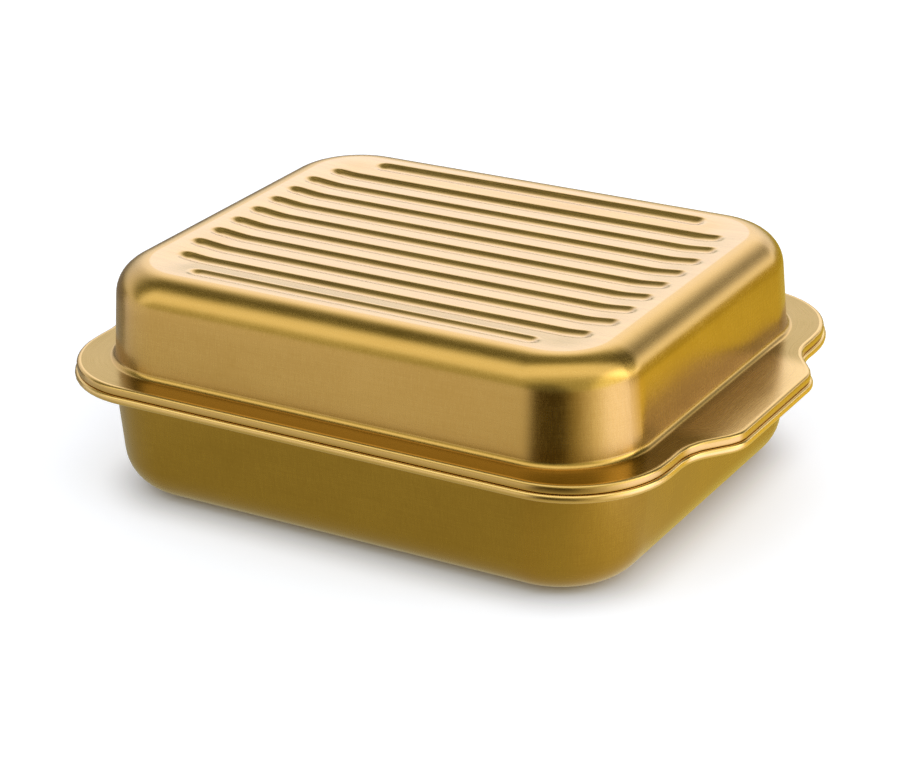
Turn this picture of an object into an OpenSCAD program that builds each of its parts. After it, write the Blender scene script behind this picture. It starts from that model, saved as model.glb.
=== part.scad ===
// Covered roasting pan: a deep pressed pan and a pressed lid that rests on it, flange over flange.
// Each flange has a grip tab at both ends, and its edge is rolled round a steel wire.
// Millimetres, +Z up, X along the length, origin at the middle of the base's underside.

/* [Sheet and rims] */
// Thickness of the aluminium sheet of the pan and of the lid
sheet_t = 1.2; // [0.9:0.1:1.3]
// Outside diameter of the roll at the edge of each flange
roll_d = 4.2; // [4:0.1:5]
// Air left all round the wire in its roll
wire_gap = 0.05; // [0.02:0.01:0.2]
// Air left between the lid's roll and the pan's flange
seat_gap = 0.2; // [0.1:0.1:0.6]

/* [Flange outline] */
// Width over the pan's rolled rim
rim_w = 261; // [258:1:270]
// Length over the two grip tabs
tabs_l = 350; // [348:1:352]
// Radius of the rim's four corners
rim_corner_r = 50; // [44:1:54]
// Half the length of a tab's straight outer edge
tab_half_w = 33.4; // [28:0.2:35]
// Length of the straight part of a tab's sloping sides
tab_side_l = 11; // [9:0.5:12]
// Radius of a tab's two outer corners
tab_corner_r = 21; // [18:1:22]
// Radius of the hollow curve where a tab leaves the rim
tab_root_r = 26.5; // [24:0.5:27]
// How far the lid's rim stands back from the pan's rim
lid_inset = 1.15; // [0:0.05:2]

/* [Pan] */
// Height of the pan, from its base to the top of its flange
pan_h = 63.6; // [50:0.2:80]
// Length of the pan's body at its flange
pan_l = 287.4; // [282:0.2:290]
// Width of the pan's body at its flange
pan_w = 234.1; // [228:0.1:237]
// Radius of the body's corners at its flange
pan_corner_r = 45.7; // [42:0.1:48]
// Slope of the pan's walls from upright, in degrees
pan_draft = 4.2; // [2:0.1:6]
// Radius of the bend between base and wall
pan_base_r = 21.9; // [14:0.1:24]

/* [Lid] */
// Height of the lid above its own flange
lid_rise = 47.8; // [40:0.2:60]
// Length of the lid's body at its flange
lid_l = 285.6; // [280:0.2:288]
// Width of the lid's body at its flange
lid_w = 229; // [224:0.5:232]
// Radius of the lid's corners at its flange
lid_corner_r = 44; // [42:0.5:46]
// Slope of the lid's walls from upright, in degrees
lid_draft = 4.3; // [2:0.1:5]
// Radius of the bend between the lid's wall and its top
lid_top_r = 16.6; // [14:0.1:17]
// How far the middle of the lid's top is pressed in
panel_sink = 2.2; // [1:0.1:3]
// Width of the slope between the lid's top edge and the sunk panel
sink_w = 5; // [3:0.5:6]
// Radius of the bend between wall and flange, outside, on the pan and on the lid
root_r = 3; // [2:0.5:4]

/* [Grooves] */
// Number of grooves pressed into the lid's top
groove_count = 11; // [7:2:11]
// Distance from one groove to the next
groove_pitch = 17.1; // [15:0.1:17.2]
// Width of a groove at the surface
groove_w = 9.3; // [8:0.1:10]
// Depth of a groove
groove_depth = 1.7; // [1.6:0.1:2.6]
// Length of the grooved field
field_l = 234; // [210:1:236]
// Width of the rounded rectangle that the grooves' ends follow
field_w = 179; // [178:1:182]
// Corner radius of that rectangle
field_r = 40; // [38:1:60]

/* [Hidden] */
$fn = 96;

GOLD_PAN = [0.66, 0.5, 0.22];
GOLD_LID = [0.72, 0.56, 0.27];
STEEL = [0.62, 0.63, 0.64];

// steps that a bend of the sheet is drawn in, degrees in each step of a roll, and sides of a wire
BEND_STEPS = 8;
ROLL_STEP = 22.5;
WIRE_SIDES = 16;
// a roll runs from the top of the flange outwards, down and back in to its inner side
ROLL_FROM = 90;
ROLL_TO = 360;

// the flange plate overlaps the rolled rim and the pressed body by this much
PLATE_LAP = 2;

// a tab's sides slope 3 in 4, so that the bends and straights of the outline meet on round numbers
TAB_SIN = 0.6;
TAB_COS = 0.8;
TAB_ANGLE = atan2(TAB_SIN, TAB_COS);

// flange outline, first quarter: where its bends are centred and where its straights begin
tab_x = tabs_l / 2;
rim_y = rim_w / 2;
both_r = tab_corner_r + tab_root_r;
rim_x = tab_x - both_r * (1 - TAB_COS) - tab_side_l * TAB_SIN;
tab_root_y = tab_half_w + both_r * TAB_SIN + tab_side_l * TAB_COS;
corner_centre = [rim_x - rim_corner_r, rim_y - rim_corner_r];
tab_corner_centre = [tab_x - tab_corner_r, tab_half_w];
tab_root_centre = [rim_x + tab_root_r, tab_root_y];
side_start = tab_corner_centre + tab_corner_r * [TAB_COS, TAB_SIN];

// heights
lid_seat_z = pan_h + seat_gap;
lid_flange_z = lid_seat_z + roll_d;
lid_top_z = lid_flange_z + lid_rise;
lid_depth = lid_rise + sheet_t;
panel_z = lid_top_z - panel_sink;

wire_d = roll_d - 2 * (sheet_t + wire_gap);

// a groove is a segment of a round bar that lies partly above the panel
groove_r = (groove_w * groove_w / 4 + groove_depth * groove_depth) / (2 * groove_depth);
groove_z = panel_z + groove_r - groove_depth;

function arc(centre, r, from, to, steps) =
    [for (i = [0:steps]) let (a = from + (to - from) * i / steps) centre + r * [cos(a), sin(a)]];

function ring(centre, r, sides) =
    [for (i = [0:sides - 1]) let (a = 360 * i / sides) centre + r * [cos(a), sin(a)]];

// How far outside the corner's centre the flat of the flange begins
function flat_r(corner_r, draft) =
    corner_r + (root_r - (root_r + sheet_t) * sin(draft)) / cos(draft);

// Section of a pressed body from its centre line outwards: across the closed end, round the end
// bend, along the sloping wall and round the root bend into the flange. x is the distance from the
// corner's centre, y the distance from the closed end to the flange's far side.
function body_section(height, corner_r, draft, end_r, sink) =
    let (
        flange_r = root_r + sheet_t,
        end_centre = [
            corner_r + ((end_r - height) * sin(draft) - end_r) / cos(draft),
            end_r
        ],
        root_centre = [flat_r(corner_r, draft), height - flange_r],
        reach = root_centre.x + 2 * PLATE_LAP,
        panel_edge = end_centre.x - sink_w
    )
    concat(
        sink > 0 ? [[0, sink], [panel_edge, sink]] : [[0, 0]],
        arc(end_centre, end_r, -90, -draft, BEND_STEPS),
        arc(root_centre, root_r, 180 - draft, 90, BEND_STEPS),
        [[reach, height - sheet_t], [reach, height]],
        arc(root_centre, flange_r, 90, 180 - draft, BEND_STEPS),
        arc(end_centre, end_r - sheet_t, -draft, -90, BEND_STEPS),
        sink > 0 ? [[panel_edge, sink + sheet_t], [0, sink + sheet_t]] : [[0, sheet_t]]
    );

// Section of a rolled rim. x is the distance inwards from the pan's rim, y the height from the
// flange's top.
function roll_section(inset) =
    let (
        r = roll_d / 2,
        centre = [inset + r, -r],
        steps = (ROLL_TO - ROLL_FROM) / ROLL_STEP,
        strip = inset + r + 2 * PLATE_LAP
    )
    concat(
        arc(centre, r, ROLL_FROM, ROLL_TO, steps),
        arc(centre, r - sheet_t, ROLL_TO, ROLL_FROM, steps),
        [[strip, -sheet_t], [strip, 0]]
    );

// The outline of the flange, moved inwards: first one quarter, then all round
function quarter_outline(in) = concat(
    arc(tab_corner_centre, tab_corner_r - in, 0, TAB_ANGLE, BEND_STEPS),
    arc(tab_root_centre, tab_root_r + in, 180 + TAB_ANGLE, 180, BEND_STEPS),
    arc(corner_centre, rim_corner_r - in, 0, 90, 2 * BEND_STEPS)
);
function turned(points, mx, my) = [for (p = points) [mx * p.x, my * p.y]];
function backwards(points) = [for (i = [len(points) - 1:-1:0]) points[i]];
function outline(in) =
    let (q = quarter_outline(in))
    concat(q, backwards(turned(q, -1, 1)), turned(q, -1, -1), backwards(turned(q, 1, -1)));

// A rounded rectangle with its corners centred at [±cx, ±cy]
function round_box(cx, cy, r) = concat(
    arc([cx, cy], r, 0, 90, 2 * BEND_STEPS),
    arc([-cx, cy], r, 90, 180, 2 * BEND_STEPS),
    arc([-cx, -cy], r, 180, 270, 2 * BEND_STEPS),
    arc([cx, -cy], r, 270, 360, 2 * BEND_STEPS)
);

// A section carried straight from a point; the section's x points to the left of the run
module run(start, heading, length) {
    translate([start.x, start.y, 0])
        rotate([90, 0, heading + 90])
            linear_extrude(length)
                children();
}

// A section turned through the angle of a tab's side: a quarter turn, cut at that slope
module tab_turn() {
    reach = tab_root_r + roll_d + 3 * PLATE_LAP;
    intersection() {
        rotate_extrude(angle = 90)
            children();
        rotate([0, 0, TAB_ANGLE])
            translate([0, -2 * reach, -2 * reach])
                cube([2 * reach, 2 * reach, 4 * reach]);
    }
}

// A tab's outer corner; the section's x points towards the centre
module tab_corner() {
    translate([tab_corner_centre.x, tab_corner_centre.y, 0])
        tab_turn()
            translate([tab_corner_r, 0])
                mirror([1, 0])
                    children();
}

// The hollow curve between a tab and the rim; the section's x points away from the centre
module tab_root() {
    translate([tab_root_centre.x, tab_root_centre.y, 0])
        rotate([0, 0, 180])
            tab_turn()
                translate([tab_root_r, 0])
                    children();
}

// One of the rim's four corners
module rim_corner() {
    translate([corner_centre.x, corner_centre.y, 0])
        rotate_extrude(angle = 90)
            translate([rim_corner_r, 0])
                mirror([1, 0])
                    children();
}

module quarter_rim() {
    tab_corner() children();
    run(side_start, 90 + TAB_ANGLE, tab_side_l) children();
    tab_root() children();
    run([rim_x, tab_root_y], 90, corner_centre.y - tab_root_y) children();
    rim_corner() children();
}

module along_rim() {
    for (mx = [0, 1], my = [0, 1])
        mirror([mx, 0, 0])
            mirror([0, my, 0])
                quarter_rim() children();
    for (side = [0, 180])
        rotate([0, 0, side]) {
            run([tab_x, -tab_half_w], 90, 2 * tab_half_w) children();
            run([corner_centre.x, rim_y], 180, 2 * corner_centre.x) children();
        }
}

// A section carried round a rounded rectangle; its x points outwards from the corners' centres
module round_body(cx, cy) {
    for (side = [0, 180])
        rotate([0, 0, side]) {
            translate([cx, cy, 0])
                rotate_extrude(angle = 90)
                    children();
            translate([-cx, cy, 0])
                rotate([0, 0, 90])
                    rotate_extrude(angle = 90)
                        children();
            run([-cx, cy], 0, 2 * cx) children();
            run([cx, cy], -90, 2 * cy) children();
        }
}

module flange_plate(cx, cy, hole_r, inset) {
    translate([0, 0, -sheet_t])
        difference() {
            linear_extrude(sheet_t)
                polygon(outline(inset + roll_d / 2 + PLATE_LAP));
            translate([0, 0, -1])
                linear_extrude(sheet_t + 2)
                    polygon(round_box(cx, cy, hole_r));
        }
}

module pan() {
    cx = pan_l / 2 - pan_corner_r;
    cy = pan_w / 2 - pan_corner_r;
    color(GOLD_PAN) {
        round_body(cx, cy)
            polygon(body_section(pan_h, pan_corner_r, pan_draft, pan_base_r, 0));
        translate([-cx, -cy, 0])
            cube([2 * cx, 2 * cy, sheet_t]);
        translate([0, 0, pan_h]) {
            flange_plate(cx, cy, flat_r(pan_corner_r, pan_draft) + PLATE_LAP, 0);
            along_rim()
                polygon(roll_section(0));
        }
    }
}

// A round bar along X with round ends, which fits a groove or, when thicker, the back of one
module groove_bar(r, length) {
    straight = length / 2 - groove_w / 2;
    rotate([0, 90, 0])
        rotate_extrude()
            polygon(concat(
                arc([0, -straight], r, -90, 0, BEND_STEPS),
                arc([0, straight], r, 0, 90, BEND_STEPS)
            ));
}

// The grooves' ends follow a rounded rectangle
function groove_length(y) =
    let (into_corner = max(0, abs(y) - (field_w / 2 - field_r)))
    field_l + 2 * (sqrt(field_r * field_r - into_corner * into_corner) - field_r);

module groove_bars(r) {
    for (i = [0:groove_count - 1]) {
        y = (i - (groove_count - 1) / 2) * groove_pitch;
        translate([0, y, groove_z])
            groove_bar(r, groove_length(y));
    }
}

module lid_shell() {
    cx = lid_l / 2 - lid_corner_r;
    cy = lid_w / 2 - lid_corner_r;
    translate([0, 0, lid_top_z])
        mirror([0, 0, 1])
            round_body(cx, cy)
                polygon(body_section(lid_depth, lid_corner_r, lid_draft, lid_top_r, panel_sink));
    translate([-cx, -cy, panel_z - sheet_t])
        cube([2 * cx, 2 * cy, sheet_t]);
    translate([0, 0, lid_flange_z]) {
        flange_plate(cx, cy, flat_r(lid_corner_r, lid_draft) + PLATE_LAP, lid_inset);
        along_rim()
            polygon(roll_section(lid_inset));
    }
}

// The backs of the grooves, which stand out as ribs inside the lid
module groove_ribs() {
    intersection() {
        groove_bars(groove_r + sheet_t);
        translate([0, 0, panel_z - sheet_t / 2 - lid_rise / 2])
            cube([lid_l, lid_w, lid_rise], center = true);
    }
}

module lid() {
    color(GOLD_LID)
        difference() {
            union() {
                lid_shell();
                groove_ribs();
            }
            groove_bars(groove_r);
        }
}

module rim_wire(inset) {
    color(STEEL)
        along_rim()
            polygon(ring([inset + roll_d / 2, -roll_d / 2], wire_d / 2, WIRE_SIDES));
}

module pan_rim_wire() {
    translate([0, 0, pan_h])
        rim_wire(0);
}

module lid_rim_wire() {
    translate([0, 0, lid_flange_z])
        rim_wire(lid_inset);
}

pan();
pan_rim_wire();
lid();
lid_rim_wire();
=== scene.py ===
import math

import bpy
import numpy as np
from mathutils import Matrix, Vector


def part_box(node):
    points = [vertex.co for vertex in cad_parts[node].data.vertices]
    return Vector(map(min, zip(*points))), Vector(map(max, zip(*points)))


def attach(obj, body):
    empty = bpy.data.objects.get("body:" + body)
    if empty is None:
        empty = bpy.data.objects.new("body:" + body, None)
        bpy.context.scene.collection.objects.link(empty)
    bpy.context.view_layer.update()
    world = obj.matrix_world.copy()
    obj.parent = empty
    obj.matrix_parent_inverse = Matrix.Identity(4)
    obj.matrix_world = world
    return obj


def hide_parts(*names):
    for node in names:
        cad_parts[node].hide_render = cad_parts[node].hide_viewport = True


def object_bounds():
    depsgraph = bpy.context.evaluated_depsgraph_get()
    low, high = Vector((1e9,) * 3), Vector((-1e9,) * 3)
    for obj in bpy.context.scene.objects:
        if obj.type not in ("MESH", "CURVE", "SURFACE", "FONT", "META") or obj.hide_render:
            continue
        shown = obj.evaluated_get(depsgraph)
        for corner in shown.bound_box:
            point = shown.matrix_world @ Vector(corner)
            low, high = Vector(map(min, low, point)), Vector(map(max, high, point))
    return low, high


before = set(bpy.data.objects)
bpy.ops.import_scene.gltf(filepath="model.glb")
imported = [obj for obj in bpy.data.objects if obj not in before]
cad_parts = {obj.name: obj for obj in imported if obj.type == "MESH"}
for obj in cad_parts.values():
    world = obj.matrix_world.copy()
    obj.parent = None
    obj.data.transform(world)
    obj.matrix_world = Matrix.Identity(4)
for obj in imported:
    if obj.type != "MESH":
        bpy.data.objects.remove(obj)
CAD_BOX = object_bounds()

# Covered roasting pan: a deep pressed pan and a pressed lid with grooves across its top, both of
# brushed gold-anodised sheet, each with a flange, two grip tabs and an edge rolled round a wire.
# Metres, +Z up, X along the length. Each pressing is one sheet: a face is built from its section
# and the outline of its rim, and is then given the sheet's thickness.

MM = 0.001
PAN_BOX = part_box("pan")
LID_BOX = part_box("lid")

# sheet and rims
SHEET = 1.2 * MM
ROLL = 4.2 * MM
LIP_SHOULDER = 2.6
LIP_FOOT = 6
BEAD_SHOULDER = 2.6
BEAD_FOOT = 2.15
LID_INSET = PAN_BOX[1].y - LID_BOX[1].y

# outline of the rim
TAB_X = PAN_BOX[1].x
RIM_Y = PAN_BOX[1].y
RIM_CORNER = 50 * MM
TAB_HALF = 33.4 * MM
TAB_SIDE = 11 * MM
TAB_CORNER = 21 * MM
TAB_ROOT = 26.5 * MM
TAB_SIN = 0.6
TAB_COS = 0.8
RIM_X = TAB_X - (TAB_CORNER + TAB_ROOT) * (1 - TAB_COS) - TAB_SIDE * TAB_SIN
TAB_SIDE_Y = TAB_HALF + TAB_CORNER * TAB_SIN
TAB_SIDE_X = TAB_X - TAB_CORNER * (1 - TAB_COS)
TAB_ROOT_Y = TAB_HALF + (TAB_CORNER + TAB_ROOT) * TAB_SIN + TAB_SIDE * TAB_COS

# bend between wall and flange, on its hollow side
ROOT = 3 * MM

# a flange of this breadth is narrow, and one of twice this breadth is wide
NARROW_FLANGE = 12 * MM

# grooves in the lid's top
GROOVES = 11
GROOVE_PITCH = 17.1 * MM
GROOVE_WIDTH = 9.3 * MM
GROOVE_DEPTH = 1.7 * MM
GROOVE_EDGE = 0.45 * MM
FIELD_LENGTH = 234 * MM
FIELD_WIDTH = 179 * MM
FIELD_CORNER = 40 * MM
DISH_DEPTH = 2.2 * MM
DISH_EDGE = 28 * MM


class Pressing:
    """The sizes of one pressing: its body's corners, its wall, and the bend at its closed end."""

    def __init__(self, length, width, corner, draft, end_bend, flange_z, rise):
        self.corner_x = length / 2 - corner
        self.corner_y = width / 2 - corner
        self.draft = math.radians(draft)
        self.end_bend = end_bend
        self.flange_z = flange_z
        slope = math.sin(self.draft)
        upright = math.cos(self.draft)
        depth = abs(rise)
        self.end_z = flange_z + rise
        self.end_out = corner + ((end_bend - depth) * slope - end_bend) / upright
        self.flat_out = corner + (ROOT - (ROOT + SHEET) * slope) / upright


PAN = Pressing(287.4 * MM, 234.1 * MM, 45.7 * MM, 4.2, 21.9 * MM,
               PAN_BOX[1].z, PAN_BOX[0].z - PAN_BOX[1].z)
LID_FLANGE_Z = LID_BOX[0].z + ROLL
LID = Pressing(285.6 * MM, 229 * MM, 44 * MM, 4.3, 16.6 * MM,
               LID_FLANGE_Z, LID_BOX[1].z - LID_FLANGE_Z + SHEET)
LID_TOP_Z = LID_BOX[1].z


# ---------------------------------------------------------------- sections and outlines

def arc(centre, radius, start, stop, steps):
    """Points of a bend in a section, as (out, up); angles in degrees."""
    turn = np.radians(np.linspace(start, stop, steps + 1))
    return np.stack([centre[0] + radius * np.cos(turn), centre[1] + radius * np.sin(turn)], 1)


def straight(a, b, steps):
    """Points between two points of a section, without its ends."""
    share = np.arange(1, steps)[:, None] / steps
    return np.asarray(a) * (1 - share) + np.asarray(b) * share


def lid_section():
    """The lid's outer face from the edge of its top, over the bend and down the wall to the flange."""
    draft = math.degrees(LID.draft)
    end = arc((LID.end_out, LID_TOP_Z - LID.end_bend), LID.end_bend, 90, draft, 14)
    root = arc((LID.flat_out, LID.flange_z + ROOT), ROOT, 180 + draft, 270, 7)
    return np.concatenate([end, straight(end[-1], root[0], 6), root])


def pan_section():
    """The pan's inner face from its base, round the bend and up the wall to the flange."""
    draft = math.degrees(PAN.draft)
    end = arc((PAN.end_out, PAN.end_z + PAN.end_bend), PAN.end_bend - SHEET, -90, -draft, 14)
    root = arc((PAN.flat_out, PAN.flange_z - ROOT - SHEET), ROOT + SHEET, 180 - draft, 90, 8)
    return np.concatenate([end, straight(end[-1], root[0], 6), root])


def roll_section(shoulder, foot):
    """A rolled edge as (inwards, up): over the shoulder, down the lip, and back in underneath.
    2 is a round corner, and more is a squarer one."""
    turn = np.radians(np.linspace(90, 352, 29))
    squared = 2 / np.where(np.sin(turn) > 0, shoulder, foot)
    across = np.sign(np.cos(turn)) * np.abs(np.cos(turn)) ** squared
    up = np.sign(np.sin(turn)) * np.abs(np.sin(turn)) ** squared
    return np.stack([ROLL / 2 * (1 + across), ROLL / 2 * (up - 1)], 1)


def end_outline(y):
    """The rim at an end of the pan: how far out it is at y, and which way it faces there."""
    y = np.abs(y)
    past_corner = np.clip(y - TAB_HALF, 0, TAB_CORNER * TAB_SIN)
    to_root = np.clip(TAB_ROOT_Y - y, 0, TAB_ROOT * TAB_SIN)
    on_corner = TAB_X - TAB_CORNER + np.sqrt(TAB_CORNER ** 2 - past_corner ** 2)
    on_side = TAB_SIDE_X - (y - TAB_SIDE_Y) * TAB_SIN / TAB_COS
    on_root = RIM_X + TAB_ROOT - np.sqrt(TAB_ROOT ** 2 - to_root ** 2)
    side_end = TAB_SIDE_Y + TAB_SIDE * TAB_COS
    x = np.where(y < TAB_SIDE_Y, on_corner, np.where(y < side_end, on_side, on_root))
    lean = np.where(y < TAB_SIDE_Y, past_corner / TAB_CORNER,
                    np.where(y < side_end, TAB_SIN, to_root / TAB_ROOT))
    return x, lean


def rim(feet, ways):
    """Where lines from the body's inner corners meet the pan's rim, and the rim's directions there."""
    side = np.sign(feet + ways * 1e-9)
    inner = np.array([RIM_X - RIM_CORNER, RIM_Y - RIM_CORNER])
    near, far = np.zeros(len(feet)), np.full(len(feet), 2 * TAB_X)
    for _ in range(50):
        middle = (near + far) / 2
        past = np.abs(feet + ways * middle[:, None]) - inner
        within = np.hypot(*np.maximum(past, 0).T) + np.minimum(past.max(1), 0) < RIM_CORNER
        near, far = np.where(within, middle, near), np.where(within, far, middle)
    points = feet + ways * near[:, None]
    past = np.maximum(np.abs(points) - inner, 0)
    facing = past / np.hypot(*past.T)[:, None] * side
    ends = np.abs(ways[:, 0]) > 0.9999
    x, lean = end_outline(points[ends, 1])
    points[ends, 0] = x * side[ends, 0]
    facing[ends] = np.stack([np.sqrt(1 - lean ** 2), lean], 1) * side[ends]
    return points, facing


# ---------------------------------------------------------------- the sheet's face

def squeezed(x, y, body, reach):
    """Moves the corners of a plain grid inwards, so that its edge becomes a rounded rectangle."""
    over_x = np.clip((np.abs(x) - body.corner_x) / reach, 0, 1)
    over_y = np.clip((np.abs(y) - body.corner_y) / reach, 0, 1)
    moved_x = body.corner_x + reach * over_x * np.sqrt(1 - over_y ** 2 / 2)
    moved_y = body.corner_y + reach * over_y * np.sqrt(1 - over_x ** 2 / 2)
    both = (over_x > 0) & (over_y > 0)
    return (np.where(both, np.sign(x) * moved_x, x), np.where(both, np.sign(y) * moved_y, y))


def both_ways(stops):
    """A line of grid places from its positive half, which starts at 0."""
    stops = np.asarray(stops)
    return np.concatenate([-stops[:0:-1], stops])


def sheet_face(body, section, roll, inset, xs, ys, reach, height, flange_rows):
    """One face of a pressing: the closed end's grid, the wall's rings, the flange and the roll."""
    grid_x, grid_y = np.meshgrid(xs, ys, indexing="ij")
    grid_x, grid_y = squeezed(grid_x, grid_y, body, reach)
    nx, ny = grid_x.shape
    number = np.arange(nx * ny).reshape(nx, ny)
    edge = np.concatenate([number[:-1, 0], number[-1, :-1], number[:0:-1, -1], number[0, :0:-1]])
    flat = np.stack([grid_x.ravel(), grid_y.ravel()], 1)

    places = [np.column_stack([flat, height(flat[:, 0], flat[:, 1])])]
    feet = np.clip(flat[edge], [-body.corner_x, -body.corner_y], [body.corner_x, body.corner_y])
    ways = (flat[edge] - feet) / np.hypot(*(flat[edge] - feet).T)[:, None]
    rim_points, facing = rim(feet, ways)

    # the sheet before it was pressed: where each point lay, and how far it is from the rim
    unrolled = [flat]
    zones = [np.tile([1.0, 0, 0], (len(flat), 1))]
    # painted shade: how much each point is painted darker, standing in for the wall's dark reflection in
    # the flange
    painted_shade = [np.zeros(len(flat))]
    drawn = reach

    # between the grid and the bend, then round the bend and along the wall
    inner_edge = feet + ways * section[-1, 0]
    breadth = np.hypot(*(rim_points - inner_edge).T) - ROLL
    narrow = 1 - smooth((breadth - NARROW_FLANGE) / NARROW_FLANGE)
    root_start, root_end = section[-8, 0], section[-1, 0]
    first_out = np.linspace(reach, section[0, 0], 4)[1:-1]
    rings = [(out, None) for out in first_out] + [(out, up) for out, up in section]
    last = None
    for out, up in rings:
        at = feet + ways * out
        z = height(at[:, 0], at[:, 1]) if up is None else np.full(len(at), up)
        step = out - (last[0] if last else reach)
        drawn += math.hypot(step, (up - last[1]) if last and up is not None and last[1] is not None else 0)
        places.append(np.column_stack([at, z]))
        unrolled.append(feet + ways * drawn)
        steep = 0 if up is None else 1
        zones.append(np.tile([1.0 - steep, steep, 0], (len(at), 1)))
        # painted shade on the bend at the wall's foot: full at the foot beside a narrow flange, up to 0.6
        # beside a wide one
        into_root = 0 if up is None else smooth((out - root_start) / (root_end - root_start) * 1.6)
        at_foot = 0 if up is None else out > section[-2, 0]
        painted_shade.append((1 - narrow) * into_root * 0.6 + narrow * at_foot)
        last = (out, up)

    # across the flange to the shoulder of the roll
    outer_edge = rim_points - facing * (inset + roll[0, 0])
    for share in [*np.linspace(0, 0.97, flange_rows)[1:], 1]:
        at = inner_edge * (1 - share) + outer_edge * share
        places.append(np.column_stack([at, np.full(len(at), section[-1, 1])]))
        unrolled.append(feet + ways * drawn + (at - inner_edge))
        zones.append(np.tile([0, 0, 1.0], (len(at), 1)))
        # painted shade on the flange's flat, strongest where the flange is narrow; the roll gets none
        painted_shade.append((0.1 + 0.9 * narrow) * (share < 1))
    for inwards, up in roll[1:]:
        at = rim_points - facing * (inset + inwards)
        places.append(np.column_stack([at, np.full(len(at), section[-1, 1] + up)]))
        unrolled.append(unrolled[-1] + facing * (ROLL / 8))
        zones.append(np.tile([0, 0, 1.0], (len(at), 1)))
        painted_shade.append(np.zeros(len(at)))

    faces = []
    quads = np.stack([number[:-1, :-1], number[1:, :-1], number[1:, 1:], number[:-1, 1:]], -1)
    faces.append(quads.reshape(-1, 4))
    inner = edge
    count = nx * ny
    for ring in places[1:]:
        outer = count + np.arange(len(ring))
        faces.append(np.stack([inner, outer, np.roll(outer, -1), np.roll(inner, -1)], 1))
        inner = outer
        count += len(ring)
    return (np.concatenate(places), np.concatenate(faces),
            np.concatenate(unrolled), np.concatenate(zones), np.concatenate(painted_shade))


def from_rim(points, inset):
    """How far each point lies inside the rim, measured level; the ends' tabs are left out."""
    inner = np.array([RIM_X - RIM_CORNER, RIM_Y - RIM_CORNER])
    past = np.abs(points[:, :2]) - inner
    inside = RIM_CORNER - np.hypot(*np.maximum(past, 0).T) - np.minimum(past.max(1), 0)
    x, lean = end_outline(points[:, 1])
    on_end = (x - np.abs(points[:, 0])) * np.sqrt(1 - lean ** 2)
    near_end = (np.abs(points[:, 1]) < TAB_ROOT_Y) & (np.abs(points[:, 0]) > RIM_X - RIM_CORNER)
    return np.where(near_end, np.minimum(on_end, 1), inside) - inset


def sheet_piece(name, face, inset):
    """A piece from a face of the sheet: it gets the sheet's thickness and the brushing's directions."""
    places, quads, unrolled, zones, painted_shade = face
    mesh = bpy.data.meshes.new(name)
    mesh.from_pydata(places.tolist(), [], quads.tolist())
    across = from_rim(places, inset)
    grain = mesh.attributes.new("grain", "FLOAT_VECTOR", "POINT")
    grain.data.foreach_set("vector", np.column_stack([unrolled, across]).astype(np.float32).ravel())
    zone = mesh.attributes.new("zone", "FLOAT_VECTOR", "POINT")
    zone.data.foreach_set("vector", zones.astype(np.float32).ravel())
    # painted shade per point, read by the material
    darker = mesh.attributes.new("painted_shade", "FLOAT", "POINT")
    darker.data.foreach_set("value", painted_shade.astype(np.float32))
    piece = bpy.data.objects.new(name, mesh)
    bpy.context.scene.collection.objects.link(piece)
    thicken = piece.modifiers.new("thickness", "SOLIDIFY")
    thicken.thickness = SHEET
    thicken.offset = -1
    thicken.use_even_offset = True
    thicken.use_rim = True
    bpy.context.view_layer.update()
    solid = bpy.data.meshes.new_from_object(piece.evaluated_get(bpy.context.evaluated_depsgraph_get()))
    piece.modifiers.clear()
    piece.data = solid
    solid.name = name
    bpy.data.meshes.remove(mesh)
    solid.shade_smooth()
    solid.set_sharp_from_angle(angle=math.radians(50))
    return piece


# ---------------------------------------------------------------- lid

def smooth(value):
    """Runs gently from 0 to 1."""
    value = np.clip(value, 0, 1)
    return value * value * (3 - 2 * value)


def groove_length(y):
    """The grooves' ends follow a rounded rectangle."""
    into_corner = max(0, abs(y) - (FIELD_WIDTH / 2 - FIELD_CORNER))
    return FIELD_LENGTH + 2 * (math.sqrt(FIELD_CORNER ** 2 - into_corner ** 2) - FIELD_CORNER)


def groove_rows():
    return [(i - (GROOVES - 1) / 2) * GROOVE_PITCH for i in range(GROOVES)]


def lid_top(x, y):
    """Height of the lid's top: a shallow dish with round-ended grooves pressed into it."""
    inner = np.stack([np.abs(x) - LID.corner_x, np.abs(y) - LID.corner_y])
    beyond = np.hypot(*np.maximum(inner, 0)) + np.minimum(inner.max(0), 0)
    from_edge = smooth((LID.end_out - beyond) / DISH_EDGE)
    bowl = (1 - 0.35 * (x / TAB_X) ** 2) * (1 - 0.35 * (y / RIM_Y) ** 2)
    z = LID_TOP_Z - DISH_DEPTH * bowl * from_edge
    for row in groove_rows():
        half = groove_length(row) / 2 - GROOVE_WIDTH / 2
        across = np.hypot(np.maximum(np.abs(x) - half, 0), y - row)
        hollow = GROOVE_DEPTH * ((across / (GROOVE_WIDTH / 2)) ** 2 - 1)
        rounding = np.maximum(GROOVE_EDGE - np.abs(hollow), 0) ** 2 / (4 * GROOVE_EDGE)
        z = z + np.minimum(hollow, 0) - rounding
    return z


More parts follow.
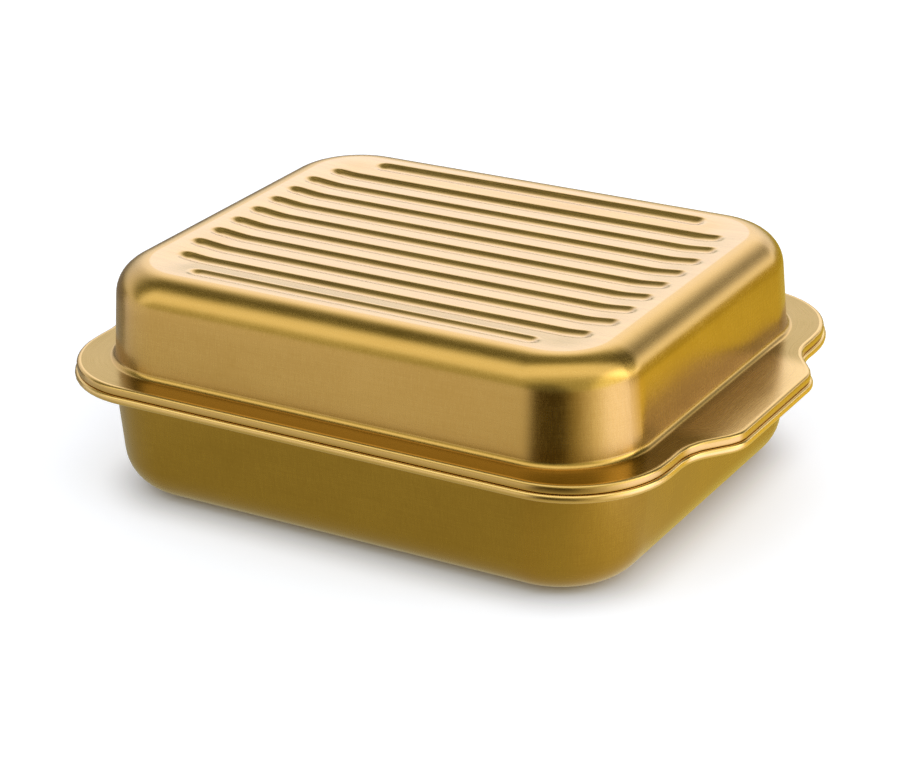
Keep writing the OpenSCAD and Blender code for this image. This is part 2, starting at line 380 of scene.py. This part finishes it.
def lid_piece():
    reach = 22 * MM
    across_groove = np.array([0, 1.4, 2.7, 3.6, 4.2, 4.55, 4.9, 5.5, 6.4]) * MM
    ys = []
    for row in groove_rows():
        ys += [row - step for step in across_groove] + [row + step for step in across_groove[1:]]
    ys = [y for y in ys if abs(y) < LID.corner_y + reach - 0.4 * MM]
    ys = np.array(sorted(set(np.round(ys, 7)) | {-LID.corner_y - reach, LID.corner_y + reach}))
    middle = np.linspace(0, 84 * MM, 12)
    ends = np.linspace(84 * MM, LID.corner_x + reach, 27)[1:]
    xs = both_ways(np.concatenate([middle, ends]))
    lip = roll_section(LIP_SHOULDER, LIP_FOOT)
    face = sheet_face(LID, lid_section(), lip, LID_INSET, xs, ys, reach, lid_top, 7)
    return sheet_piece("lid_pressing", face, LID_INSET)


# ---------------------------------------------------------------- pan

def pan_base(x, y):
    """Height of the base's inner face."""
    return np.full(np.shape(x), PAN.end_z + SHEET)


def pan_piece():
    reach = 15 * MM
    xs = both_ways(np.concatenate([np.linspace(0, PAN.corner_x, 16),
                                   np.linspace(PAN.corner_x, PAN.corner_x + reach, 10)[1:]]))
    ys = both_ways(np.concatenate([np.linspace(0, TAB_HALF - 4 * MM, 7),
                                   np.linspace(TAB_HALF - 4 * MM, PAN.corner_y, 26)[1:],
                                   np.linspace(PAN.corner_y, PAN.corner_y + reach, 10)[1:]]))
    bead = roll_section(BEAD_SHOULDER, BEAD_FOOT)
    face = sheet_face(PAN, pan_section(), bead, 0, xs, ys, reach, pan_base, 6)
    return sheet_piece("pan_pressing", face, 0)


# ---------------------------------------------------------------- shader maths

class Value:
    """A number in a shader. Python's operators on it add Math nodes."""

    def __init__(self, shader, socket):
        self.shader = shader
        self.socket = socket

    def maths(self, operation, *numbers):
        return self.shader.node("ShaderNodeMath", {"operation": operation}, dict(enumerate(numbers)))

    def __add__(self, other):
        return self.maths("ADD", self, other)

    def __radd__(self, other):
        return self.maths("ADD", other, self)

    def __sub__(self, other):
        return self.maths("SUBTRACT", self, other)

    def __rsub__(self, other):
        return self.maths("SUBTRACT", other, self)

    def __mul__(self, other):
        return self.maths("MULTIPLY", self, other)

    def __rmul__(self, other):
        return self.maths("MULTIPLY", other, self)

    def __truediv__(self, other):
        return self.maths("DIVIDE", self, other)

    def __pow__(self, other):
        return self.maths("POWER", self, other)

    def between(self, low, high):
        """0 below low, 1 above high, and a gentle run between."""
        return self.shader.node("ShaderNodeMapRange", {"interpolation_type": "SMOOTHSTEP"},
                                {"Value": self, "From Min": low, "From Max": high})


class Shader:
    """The nodes of one material or of the world."""

    def __init__(self, owner):
        owner.use_nodes = True
        self.tree = owner.node_tree
        self.tree.nodes.clear()

    def node(self, kind, settings=None, sockets=None, out=0):
        """Adds a node with its settings, joins or sets its sockets, and returns one output."""
        made = self.tree.nodes.new(kind)
        for name, setting in (settings or {}).items():
            if name == "stops":
                self.set_stops(made.color_ramp, setting)
            else:
                setattr(made, name, setting)
        for name, value in (sockets or {}).items():
            socket = made.inputs[name]
            if isinstance(value, Value):
                self.tree.links.new(value.socket, socket)
            else:
                socket.default_value = value
        return Value(self, made.outputs[out]) if len(made.outputs) else made

    @staticmethod
    def set_stops(ramp, stops):
        while len(ramp.elements) > 1:
            ramp.elements.remove(ramp.elements[-1])
        for i, (place, shade) in enumerate(stops):
            stop = ramp.elements[0] if i == 0 else ramp.elements.new(place)
            stop.position = place
            stop.color = (*shade, 1) if isinstance(shade, tuple) else (shade, shade, shade, 1)

    def stretched(self, vector, scale):
        return self.node("ShaderNodeVectorMath", {"operation": "MULTIPLY"}, {0: vector, 1: scale})

    def toward(self, way, direction):
        """1 where the way points along the direction, and 0 where it is square to it."""
        return self.node("ShaderNodeVectorMath", {"operation": "DOT_PRODUCT"}, {0: way, 1: direction},
                         out="Value")

    def noise(self, vector, detail=2.0, roughness=0.5):
        return self.node("ShaderNodeTexNoise", {},
                         {"Vector": vector, "Scale": 1.0, "Detail": detail, "Roughness": roughness})

    def mixed(self, factor, first, second):
        """A colour between two colours."""
        return self.node("ShaderNodeMix", {"data_type": "RGBA"}, {0: factor, 6: first, 7: second}, out=2)


# ---------------------------------------------------------------- materials

def gold_sheet(name, pale, deep, painted_shade_colour, painted_highlight_colour):
    """Brushed sheet with a gold anodic layer. The brushing ran along X before it was pressed. The
    narrow flange beside the wall, and the bend at the wall's foot where the flange is wide, carry a painted
    shade that stands in for the wall's dark reflection. The flanges and rims are painted paler, a painted
    highlight."""
    material = bpy.data.materials.new(name)
    shader = Shader(material)
    grain = shader.node("ShaderNodeAttribute", {"attribute_name": "grain"}, out="Vector")
    zone = shader.node("ShaderNodeAttribute", {"attribute_name": "zone"}, out="Vector")
    panel = shader.node("ShaderNodeSeparateXYZ", {}, {0: zone}, out=0)
    wall = shader.node("ShaderNodeSeparateXYZ", {}, {0: zone}, out=1)
    flange = shader.node("ShaderNodeSeparateXYZ", {}, {0: zone}, out=2)
    # how much painted shade each point gets
    painted_shade = shader.node("ShaderNodeAttribute", {"attribute_name": "painted_shade"}, out="Fac")

    # fine lines of the brushing, longer soft bands, and lines that follow the rim on the flange
    lines = shader.noise(shader.stretched(grain, (45, 2300, 0)), 3.0, 0.6)
    bands = shader.noise(shader.stretched(grain, (14, 420, 0)), 2.0, 0.5)
    rim_lines = shader.noise(shader.stretched(grain, (40, 40, 1900)), 3.0, 0.6)
    # drawing the walls breaks the brushing up into fine upright and level lines
    place = shader.node("ShaderNodeTexCoord", {}, out="Object")
    upright = shader.noise(shader.stretched(place, (1500, 1500, 110)), 3.0, 0.65)
    level = shader.noise(shader.stretched(place, (90, 90, 1600)), 3.0, 0.65)
    drawn = upright * 0.6 + level * 0.4
    cloud = shader.noise(shader.stretched(grain, (22, 30, 0)), 2.0, 0.5)

    brushed = lines * (1 - flange) + rim_lines * flange
    grained = brushed * (1 - wall) + drawn * wall

    tone = (grained - 0.5) * 0.7 + (bands - 0.5) * (0.5 - wall * 0.4) + (cloud - 0.5) * 0.3 + 0.5
    colour = shader.mixed(tone.between(0.1, 0.9), deep, pale)
    # painted highlight: the flanges and rims are painted paler
    colour = shader.mixed(flange * 0.8, colour, painted_highlight_colour)
    # painted shade: darker colour on the narrow flange and at the wall's foot
    colour = shader.mixed(painted_shade, colour, painted_shade_colour)
    roughness = 0.26 + (grained - 0.5) * 0.2 + (cloud - 0.5) * 0.08
    normal = shader.node("ShaderNodeBump", {}, {"Strength": 0.3, "Distance": 0.00002, "Height": grained})
    metal = shader.node("ShaderNodeBsdfPrincipled", {}, {
        "Base Color": colour,
        "Metallic": 1.0,
        "Roughness": roughness,
        "Normal": normal,
        # the painted shade also takes the coat away there
        "Coat Weight": (0.22 + panel * 0.52) * (1 - painted_shade),
        "Coat Roughness": 0.2,
        "Coat IOR": 1.7,
    })
    shader.node("ShaderNodeOutputMaterial", {}, {"Surface": metal})
    return material


def drawn_steel(name):
    """Bright wire with fine lines from drawing."""
    material = bpy.data.materials.new(name)
    shader = Shader(material)
    place = shader.node("ShaderNodeTexCoord", {}, out="Object")
    lines = shader.noise(shader.stretched(place, (300, 300, 3000)), 3.0, 0.6)
    colour = shader.mixed(lines, (0.42, 0.42, 0.43, 1), (0.66, 0.66, 0.67, 1))
    normal = shader.node("ShaderNodeBump", {}, {"Strength": 0.3, "Distance": 0.00003, "Height": lines})
    metal = shader.node("ShaderNodeBsdfPrincipled", {}, {
        "Base Color": colour,
        "Metallic": 1.0,
        "Roughness": 0.24 + lines * 0.16,
        "Normal": normal,
    })
    shader.node("ShaderNodeOutputMaterial", {}, {"Surface": metal})
    return material


def give(piece, material):
    piece.data.materials.clear()
    piece.data.materials.append(material)


# ---------------------------------------------------------------- studio

VIEW_TURN = math.radians(30.803)
VIEW_DROP = math.radians(23.522)
VIEW_ROLL = math.radians(-1.298)
VIEW_AWAY = 1353.4 * MM
VIEW_ASIDE = -1.68 * MM
VIEW_RAISED = -23.42 * MM
LENS = 110.11


def camera():
    """Looks down on the near right corner, aimed at the middle of the lid's flange."""
    ahead = Vector((-math.sin(VIEW_TURN) * math.cos(VIEW_DROP),
                    math.cos(VIEW_TURN) * math.cos(VIEW_DROP), -math.sin(VIEW_DROP)))
    right = Vector((math.cos(VIEW_TURN), math.sin(VIEW_TURN), 0))
    up = right.cross(ahead)
    level_right = right * math.cos(VIEW_ROLL) + up * math.sin(VIEW_ROLL)
    level_up = up * math.cos(VIEW_ROLL) - right * math.sin(VIEW_ROLL)
    aim = Vector((0, 0, LID.flange_z))
    place = aim - ahead * VIEW_AWAY + level_right * VIEW_ASIDE + level_up * VIEW_RAISED
    data = bpy.data.cameras.new("camera")
    data.lens = LENS
    data.sensor_width = 36
    data.sensor_fit = "HORIZONTAL"
    data.clip_start = 0.01
    made = bpy.data.objects.new("camera", data)
    turn = Matrix((level_right, level_up, -ahead)).transposed().to_4x4()
    made.matrix_world = Matrix.Translation(place) @ turn
    bpy.context.scene.collection.objects.link(made)
    bpy.context.scene.camera = made


def floor():
    """A wide pale floor, lit a little from below as a light table is, with a painted shadow near the pan.
    """
    mesh = bpy.data.meshes.new("floor")
    half = 5
    mesh.from_pydata([(-half, -half, 0), (half, -half, 0), (half, half, 0), (-half, half, 0)],
                     [], [(0, 1, 2, 3)])
    made = bpy.data.objects.new("floor", mesh)
    made.location.z = CAD_BOX[0][2] - 0.2 * MM
    bpy.context.scene.collection.objects.link(made)
    material = bpy.data.materials.new("pale_floor")
    shader = Shader(material)
    # painted shadow: the floor's own glow is painted dark under and beside the pan
    place = shader.node("ShaderNodeTexCoord", {}, out="Object")
    along = shader.node("ShaderNodeSeparateXYZ", {}, {0: place}, out=0)
    across = shader.node("ShaderNodeSeparateXYZ", {}, {0: place}, out=1)
    beside = along.maths("ABSOLUTE", along) - PAN.corner_x
    beyond = across.maths("ABSOLUTE", across) - PAN.corner_y
    away = beside.maths("MAXIMUM", beside, 0) ** 2 + beyond.maths("MAXIMUM", beyond, 0) ** 2
    clear = (away ** 0.5).between(PAN.end_out, PAN.end_out + 40 * MM)
    glow = shader.mixed(clear, (0.05, 0.05, 0.05, 1), (1, 1, 1, 1))
    surface = shader.node("ShaderNodeBsdfPrincipled", {}, {
        "Base Color": (0.66, 0.69, 0.74, 1), "Roughness": 0.9, "Specular IOR Level": 0.0,
        "Emission Color": glow, "Emission Strength": 0.5})
    shader.node("ShaderNodeOutputMaterial", {}, {"Surface": surface})
    give(made, material)


# what the metal sees low down, by direction in degrees from straight ahead of the long side
# towards the grip: close to the pan, and further out
SURROUND = [
    (-85, (0.48, 0.46, 0.31), (0.96, 0.96, 1.25)),
    (-16, (0.53, 0.50, 0.34), (0.94, 0.90, 1.0)),
    (-4, (0.55, 0.50, 0.34), (0.07, 0.045, 0.01)),
    (28, (0.62, 0.58, 0.40), (0.05, 0.035, 0.01)),
    (44, (0.70, 0.64, 0.45), (0.45, 0.38, 0.22)),
    (66, (0.78, 0.71, 0.48), (1.25, 1.20, 1.30)),
    (84, (0.84, 0.76, 0.50), (1.85, 1.85, 3.0)),
    (112, (0.84, 0.76, 0.45), (1.80, 1.80, 3.0)),
    (126, (0.80, 0.68, 0.27), (1.20, 0.96, 0.11)),
    (160, (0.80, 0.66, 0.15), (1.02, 0.82, 0.09)),
    (195, (0.72, 0.60, 0.26), (0.72, 0.56, 0.06)),
    (215, (0.55, 0.50, 0.38), (0.36, 0.33, 0.30)),
    (275, (0.46, 0.44, 0.32), (0.36, 0.33, 0.30)),
]


def surround():
    """Cards round the near corner of the lid, seen only in the metal: flat, then standing up."""
    hub = np.array([LID.corner_x, -LID.corner_y])
    turns = np.arange(SURROUND[0][0], SURROUND[-1][0] + 1, 3)
    marks = [stop[0] for stop in SURROUND]
    close = np.stack([np.interp(turns, marks, [stop[1][i] for stop in SURROUND]) for i in range(3)], 1)
    wide = np.stack([np.interp(turns, marks, [stop[2][i] for stop in SURROUND]) for i in range(3)], 1)
    rows = [(away, 0.5 * MM) for away in (0.02, 0.08, 0.12, 0.16, 0.2, 0.24, 0.3, 0.6, 1.2)]
    rows += [(1.2, 0.1), (1.2, 0.2)]
    ways = np.stack([np.sin(np.radians(turns)), -np.cos(np.radians(turns))], 1)
    places, glows = [], []
    for away, up in rows:
        at = hub + ways * away
        clear = np.hypot(*(np.maximum(np.abs(at) - [LID.corner_x, LID.corner_y], 0) * [1.25, 1]).T)
        share = smooth((clear - 0.12) / 0.14)[:, None]
        places += [(*point, up) for point in at]
        far = smooth((clear - 0.3) / 0.25) * smooth((turns - 105) / 20)
        glows.append((close * (1 - share) + wide * share) * (1 - 0.4 * far[:, None]))
    count = len(turns)
    faces = [(row * count + i, row * count + i + 1, (row + 1) * count + i + 1, (row + 1) * count + i)
             for row in range(len(rows) - 1) for i in range(count - 1)]
    mesh = bpy.data.meshes.new("surround")
    mesh.from_pydata(places, [], faces)
    glow = mesh.attributes.new("glow", "FLOAT_COLOR", "POINT")
    glows = np.concatenate(glows)
    glow.data.foreach_set("color", np.column_stack([glows, np.ones(len(glows))]).astype(np.float32).ravel())
    made = bpy.data.objects.new("surround", mesh)
    bpy.context.scene.collection.objects.link(made)
    made.visible_camera = False
    made.visible_diffuse = False
    made.visible_shadow = False
    made.visible_transmission = False
    material = bpy.data.materials.new("surround")
    shader = Shader(material)
    colour = shader.node("ShaderNodeAttribute", {"attribute_name": "glow"}, out="Color")
    shine = shader.node("ShaderNodeEmission", {}, {"Color": colour, "Strength": 1.0})
    shader.node("ShaderNodeOutputMaterial", {}, {"Surface": shine})
    give(made, material)


def studio():
    """Soft light all round: bright low behind, a dark band overhead, and a broad light in front."""
    world = bpy.data.worlds.new("studio")
    bpy.context.scene.world = world
    shader = Shader(world)
    way = shader.node("ShaderNodeTexCoord", {}, out="Generated")
    behind = (-math.sin(VIEW_TURN), math.cos(VIEW_TURN), 0)
    aside = (math.cos(VIEW_TURN), math.sin(VIEW_TURN), 0)
    back = shader.toward(way, behind)
    right = shader.toward(way, aside)
    up = shader.node("ShaderNodeSeparateXYZ", {}, {0: way}, out=2)
    over = up.maths("ARCTAN2", up, back) * (1 / math.pi)
    # from the horizon behind (0), overhead (0.5), to the horizon in front (1)
    stops = [(0.0, 0.30), (0.05, 0.50), (0.10, 0.92), (0.14, 1.0), (0.215, 0.95), (0.275, 0.45),
             (0.325, 0.13), (0.44, 0.13), (0.49, 0.50), (0.53, 0.82), (0.67, 0.84), (0.745, 0.46),
             (0.82, 0.34), (1.0, 0.36)]
    # the bright parts are cool, and the dim parts warm
    light = shader.node("ShaderNodeValToRGB", {
        "stops": [(at, (glow, glow, glow * (0.5 + 0.7 * glow))) for at, glow in stops]}, {0: over})
    to_left = (0 - right).between(0.08, 0.42) * back.between(-0.1, 0.3)
    to_right = right.between(0.25, 0.7) * back.between(-0.1, 0.3) * up.between(0.2, 0.45)
    # beside the near corner a tall bright strip, and in front of it a dark one
    strip = shader.toward(way, (0.99, 0.14, 0)).between(0.72, 0.92) * 0.7
    gap = shader.toward(way, (0.17, -0.98, 0)).between(0.8, 0.95) * 0.75
    strength = (1 - to_left * 0.4) * (1 - to_right * 0.75) * (1 - gap) * (1 + strip * 2) * 1.9
    light = shader.node("ShaderNodeBackground", {}, {"Color": light, "Strength": strength})
    shader.node("ShaderNodeOutputWorld", {}, {"Surface": light})


# ---------------------------------------------------------------- the scene

camera()
floor()
studio()
surround()

lid = lid_piece()
give(lid, gold_sheet("gold_lid_sheet", (0.59, 0.375, 0.085, 1), (0.43, 0.25, 0.035, 1),
                     (0.32, 0.205, 0.026, 1), (0.59, 0.385, 0.10, 1)))
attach(lid, "lid")
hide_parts("lid")

pan = pan_piece()
# the pan's colours are painted deeper than the lid's, a painted shade, and its flanges and rims are painted
# much paler, a painted highlight
give(pan, gold_sheet("gold_pan_sheet", (0.47, 0.285, 0.034, 1), (0.35, 0.20, 0.015, 1),
                     (0.27, 0.165, 0.015, 1), (0.80, 0.55, 0.17, 1)))
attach(pan, "pan")
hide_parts("pan")

steel = drawn_steel("drawn_steel_wire")
for wire in ("pan_rim_wire", "lid_rim_wire"):
    give(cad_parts[wire], steel)

bpy.context.scene.view_settings.view_transform = "Standard"
